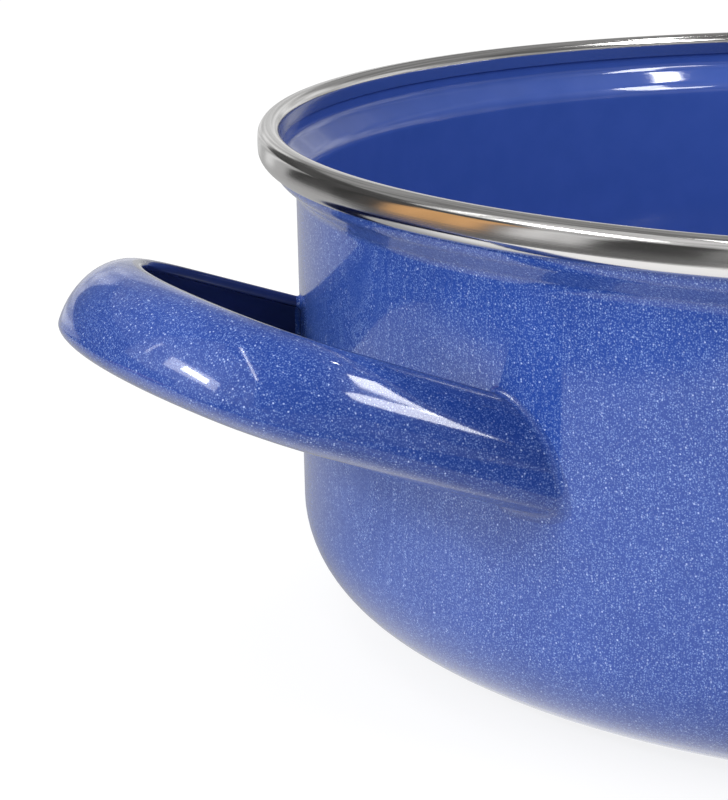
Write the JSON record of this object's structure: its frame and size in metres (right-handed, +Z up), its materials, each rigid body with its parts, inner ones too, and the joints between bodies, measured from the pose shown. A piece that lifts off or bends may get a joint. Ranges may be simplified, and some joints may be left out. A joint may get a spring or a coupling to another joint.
{
  "type": "covered casserole dish",
  "caption": "Low round enamelled steel casserole with a stainless rim band, pressed loop side handles and a domed lift-off lid with its own loop handle.",
  "frame": {"origin": "middle of the pot's base, on the surface that it stands on", "axes": "+Z up; the side handles lie along X, the right one at +X; the open lid lies at -Y"},
  "size_m": [0.3422, 0.4922, 0.0977],
  "materials": {
    "speckled_enamel": "glossy royal blue vitreous enamel on steel, dense fine pale speckles outside",
    "plain_enamel": "glossy plain deep blue vitreous enamel, no speckles",
    "stainless_band": "mirror-polished stainless steel"
  },
  "bodies": {
    "pot": {"pot_shell": "speckled_enamel", "pot_rim_band": "stainless_band", "right_handle": "speckled_enamel", "left_handle": "speckled_enamel", "right_handle_welds": "speckled_enamel", "left_handle_welds": "speckled_enamel"},
    "lid": {"lid_shell": "speckled_enamel", "lid_rim_band": "stainless_band", "lid_handle": "speckled_enamel", "lid_handle_welds": "speckled_enamel"}
  },
  "joints": [
    {"name": "lid_turn_over", "type": "hinge", "parent": "pot", "child": "lid", "pos_m": [0, -0.12872, 0.09219], "axis": [-1, 0, 0], "range_deg": [0, 202.73]}
  ]
}
